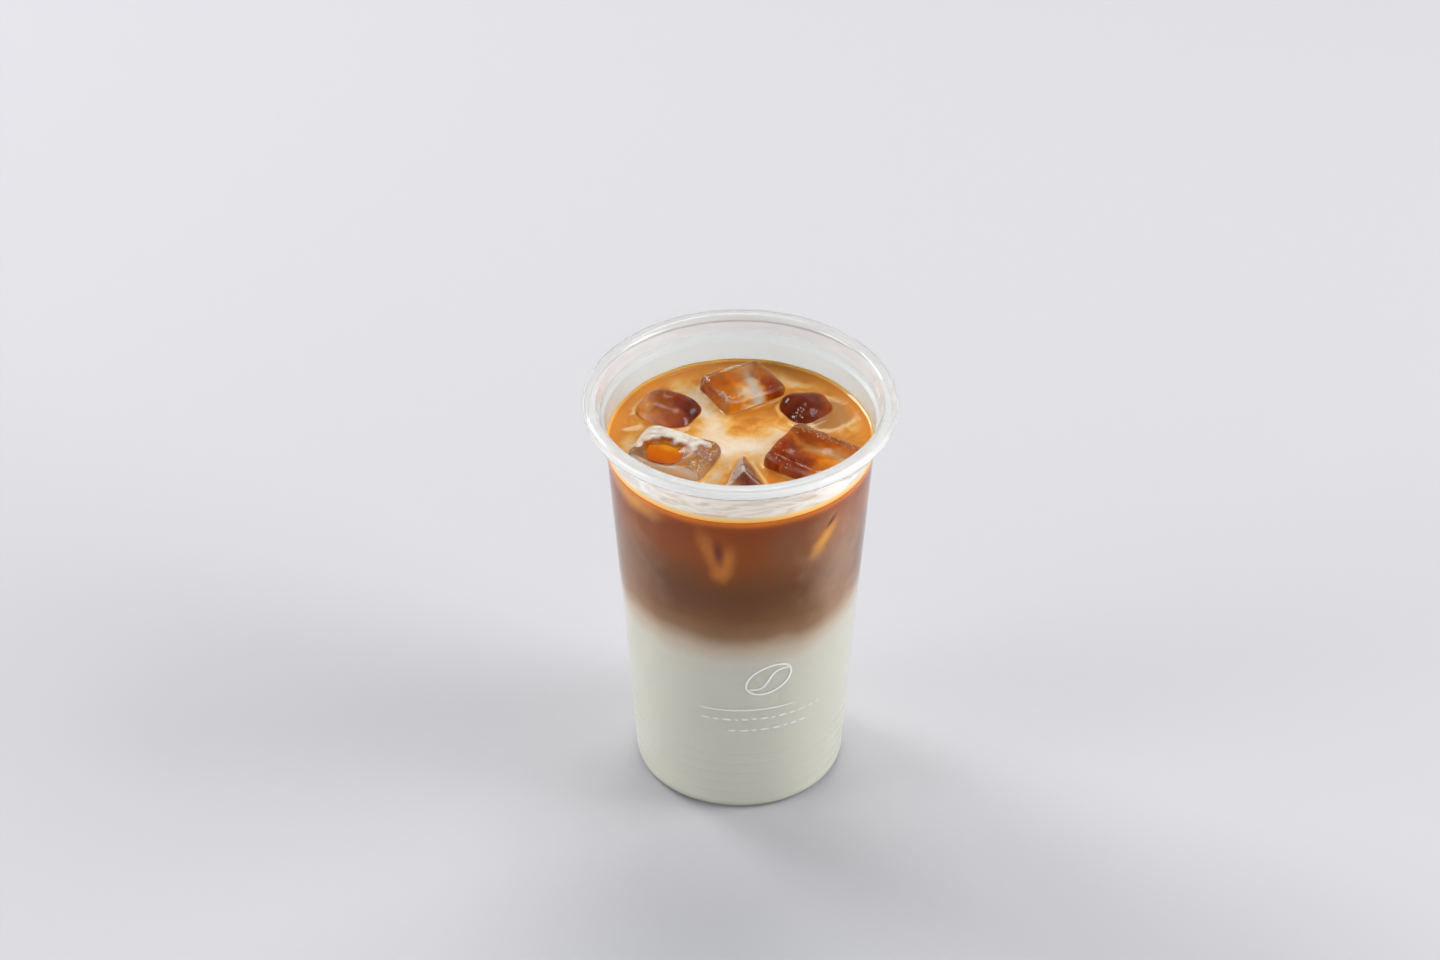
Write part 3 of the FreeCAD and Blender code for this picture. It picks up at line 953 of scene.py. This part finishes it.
# The painted highlight round the wall along the top of the drink: its foot, where it turns from orange to
# pale, and its top
HIGHLIGHT_FOOT = DRINK_LEVEL - 0.0014
HIGHLIGHT_PALE = DRINK_LEVEL - 0.0002
HIGHLIGHT_TOP = DRINK_LEVEL + 0.0018


def plastic_finish():
    """Clear formed plastic. Where no drink wets its inside it is fogged, more so at the front of the cup.

    The rounded edge of the lip is the whitest part of it. An orange line of painted highlight runs round
    the wall along the top of the drink.
    """
    finish = Finish("clear_plastic", IOR=1.36)
    place = finish.place()
    level, depth = place["Z"], place["Y"]
    dry = finish.span(level, DRINK_LEVEL - 0.0016, DRINK_LEVEL - 0.0008)
    lip = finish.span(level, LEDGE_HEIGHT + 0.001, LEDGE_HEIGHT + 0.004)
    below_lip = finish.math("SUBTRACT", 1.0, lip)

    ring = finish.add("ShaderNodeMapping", Vector=finish.coordinates(), Scale=(1, 1, 5))
    streaks = finish.span(finish.noise(70, 4, 0.65, 2.0, ring.outputs[0]), 0.32, 0.68, 0.45, 1.45)
    fog = finish.math("MULTIPLY", finish.span(depth, -0.035, 0.0, FRONT_FOG, BACK_FOG), streaks)
    edge = finish.span(level, LIP_TOP - 0.0008, LIP_TOP - 0.0002, LIP_EDGE_FOG, LIP_TOP_FOG)
    edge = finish.mix_value(finish.span(level, LIP_TOP - 0.0032, LIP_TOP - 0.0024), LIP_UNDER_FOG, edge)
    edge = finish.mix_value(finish.span(depth, -0.044, -0.008), edge, LIP_BACK_FOG)
    fog = finish.mix_value(lip, fog, edge)
    # Painted highlight: white scatter over a band just above the drink, stronger at the front.
    highlight_band = finish.span(level, DRINK_LEVEL + 0.0004, HIGHLIGHT_TOP, 1.0, 0.0)
    highlight_band = finish.math("MULTIPLY", highlight_band, finish.span(depth, -0.03, 0.03, 1.0, 0.5))
    fog = finish.math("MULTIPLY", dry, finish.math("MAXIMUM", fog, highlight_band))

    warm = finish.math("MULTIPLY", finish.span(depth, -0.04, -0.02, 1.0, 0.0), below_lip)
    behind = finish.math("MULTIPLY", finish.span(depth, -0.02, 0.01), below_lip)
    tint = finish.mix(warm, linear(255, 255, 253), linear(255, 247, 234))
    tint = finish.mix(behind, tint, linear(251, 255, 249))
    # Painted highlight: the band's tint, from orange at its foot to pale at its top.
    tint = finish.mix(finish.span(level, HIGHLIGHT_PALE, HIGHLIGHT_TOP, 1.0, 0.0), tint, linear(255, 206, 122))
    tint = finish.mix(finish.span(level, HIGHLIGHT_FOOT, HIGHLIGHT_PALE, 1.0, 0.0), tint, linear(255, 168, 50))
    wet = finish.span(level, DRINK_LEVEL - 0.0022, HIGHLIGHT_FOOT, 1.0, 0.0)
    tint = finish.mix(wet, tint, (1, 1, 1, 1))
    # Painted shade: the lowest couple of millimetres of the plastic tinted grey, for the dark line where
    # the cup stands on the floor.
    foot = finish.span(level, 0.0006, 0.0026, 1.0, 0.0)
    finish.set(finish.shader, Base_Color=finish.mix(foot, tint, linear(176, 184, 182)),
               Transmission_Weight=finish.math("SUBTRACT", 1.0, fog),
               Roughness=finish.mix_value(lip, finish.span(dry, 0, 1, 0.03, 0.36), 0.1))
    return finish.material


def ice_finish():
    """Clear ice, and white frost that breaks up in fine grains at its edge, with brown painted shade on
    some faces.
    """
    finish = Finish("ice", IOR=1.31, Specular_IOR_Level=0.3)
    grain = finish.noise(420, 4, 0.65)
    grains = finish.math("MULTIPLY_ADD", grain, 1.6, 0.2)
    # Frost, which along the upper edges is partly painted highlight.
    frost = finish.math("MULTIPLY", finish.attribute("frost"), grains)
    uneven = finish.span(finish.noise(90, 2), 0.3, 0.6, 0.7, 1.0)
    # Painted shade: brown over the side faces that the attribute marks, unevenly.
    stain = finish.math("MULTIPLY", finish.attribute("stain"), uneven)
    tint = finish.mix(stain, linear(253, 250, 246), linear(150, 84, 60))
    tint = finish.mix(finish.span(frost, 0.0, 0.5), tint, linear(244, 238, 222))
    finish.set(finish.shader, Base_Color=tint,
               Transmission_Weight=finish.span(frost, 0.0, 1.0, 1.0, 0.1),
               Roughness=finish.span(frost, 0.0, 0.5, 0.03, 0.35))
    finish.bump(grain, 0.12, 0.0003)
    return finish.material


def blended_finish(name, roughness, scale, detail, first, last):
    """An opaque material whose colour goes between two near colours by a noise."""
    finish = Finish(name, Roughness=roughness)
    finish.set(finish.shader, Base_Color=finish.mix(finish.noise(scale, detail), first, last))
    return finish.material


def pool_finish():
    """Coffee held in the hollow of the ice: red-brown towards the hollow's front, bright orange towards its
    back.
    """
    finish = Finish("coffee_pool", Roughness=0.08, IOR=1.25)
    thinner = finish.math("MULTIPLY_ADD", finish.noise(110, 3, 0.5, 1.2), 0.5, finish.attribute("share"))
    finish.set(finish.shader, Base_Color=finish.ramp(thinner, [
        (0.30, linear(122, 26, 0)),
        (0.48, linear(190, 84, 0)),
        (0.85, linear(206, 104, 0)),
        (1.00, linear(220, 136, 24)),
    ]))
    return finish.material


# ---------------------------------------------------------------- pieces

def dress(piece, material, slot, *nodes):
    """Gives the piece its material and its body, and hides the solids whose place it takes. The slot is not
    used.
    """
    piece.data.materials.clear()
    piece.data.materials.append(material)
    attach(piece, "root")
    if nodes:
        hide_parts(*nodes)


dress(make_cup(), plastic_finish(), "clear_plastic", "cup")
dress(make_milk(), milk_finish(), "milk", "milk_layer")
dress(make_coffee(), coffee_finish(), "coffee", "coffee_layer")
ICE = ice_finish()
for ice_block in BLOCKS:
    dress(make_block(ice_block), ICE, "ice", ice_block.name)
# Opaque pale balls for the air in the ice, their pale colour partly painted highlight for the glints that
# the bubbles catch.
BUBBLES_AND_GLINTS = blended_finish("ice_bubbles", 0.25, 300, 3.0, linear(214, 160, 122), linear(255, 238, 216))
dress(make_bubbles(), BUBBLES_AND_GLINTS, "ice")
dress(make_pool(), pool_finish(), "coffee")
WHITE_INK = blended_finish("white_ink", 0.45, 900, 2, linear(246, 246, 240), linear(252, 252, 248))
dress(make_print(), WHITE_INK, "clear_plastic")


# ---------------------------------------------------------------- studio

TARGET = Vector((-0.00629, 0, 0.10684))
CAMERA_DISTANCE = 1.6
CAMERA_RISE = math.radians(36.69)
LENS = 128.06                   # mm, on a 36 mm sensor
LAMP_TARGET = (0, 0, 0.06)
# Name, place, width and power
LAMPS = [
    ("key", (1.45, -0.05, 1.05), 0.9, 12.0),
    ("left", (-1.15, 0.95, 1.05), 0.7, 13.0),
    ("low_left", (-1.8, -0.45, 0.45), 1.0, 17.0),
    ("low_right", (1.75, -0.60, 0.45), 1.0, 17.0),
    ("front", (-1.5, -1.1, 0.55), 1.2, 3.0),
    ("back", (0.1, 0.75, 1.6), 0.8, 8.5),
]
FLOOR_REACH = 4.0
SHADOW_AHEAD = 0.14              # of the middle of the floor's painted shadow, a greyer patch before the cup
SHADOW_RADIUS = 0.19
WORLD_STRENGTH = 0.28


def aim(thing, place, target):
    """Puts a thing at a place and turns it, so that its -Z points at the target."""
    thing.location = place
    thing.rotation_euler = (Vector(target) - Vector(place)).to_track_quat("-Z", "Y").to_euler()


def make_camera():
    data = bpy.data.cameras.new("camera")
    data.sensor_width = 36
    data.lens = LENS
    data.clip_start = 0.01
    camera = bpy.data.objects.new("camera", data)
    bpy.context.scene.collection.objects.link(camera)
    away = Vector((0, -math.cos(CAMERA_RISE), math.sin(CAMERA_RISE)))
    aim(camera, TARGET + away * CAMERA_DISTANCE, TARGET)
    bpy.context.scene.camera = camera


def make_lamp(name, place, width, power):
    data = bpy.data.lights.new(name, "AREA")
    data.shape = "DISK"
    data.size = width
    data.energy = power
    lamp = bpy.data.objects.new(name, data)
    bpy.context.scene.collection.objects.link(lamp)
    aim(lamp, place, LAMP_TARGET)


def make_floor():
    """A pale floor far wider than the cup, with a painted shadow: a little greyer in a soft patch before
    the cup.
    """
    corners = FLOOR_REACH * np.array([[-1, -1, 0], [1, -1, 0], [1, 1, 0], [-1, 1, 0]])
    floor = publish("floor", corners, np.array([[0, 1, 2, 3]]), smooth=False)
    finish = Finish("floor", Roughness=0.9, Specular_IOR_Level=0.1)
    place = finish.place()
    ahead = finish.math("ADD", place["Y"], SHADOW_AHEAD)
    away = finish.math("SQRT", finish.math("ADD", finish.squared(place["X"]), finish.squared(ahead)))
    away = finish.math("MULTIPLY_ADD", finish.noise(3), 0.04, away)
    # Painted shadow: greyer within the patch before the cup.
    tone = finish.mix(finish.span(away, 0.0, SHADOW_RADIUS), linear(184, 186, 190), linear(209, 208, 212))
    finish.set(finish.shader, Base_Color=tone)
    floor.data.materials.append(finish.material)


def make_world():
    world = bpy.data.worlds.new("studio")
    bpy.context.scene.world = world
    world.use_nodes = True
    back = world.node_tree.nodes["Background"]
    back.inputs["Color"].default_value = linear(246, 247, 252)
    back.inputs["Strength"].default_value = WORLD_STRENGTH


make_camera()
make_floor()
make_world()
for lamp_sizes in LAMPS:
    make_lamp(*lamp_sizes)

bpy.context.scene.view_settings.view_transform = "Standard"
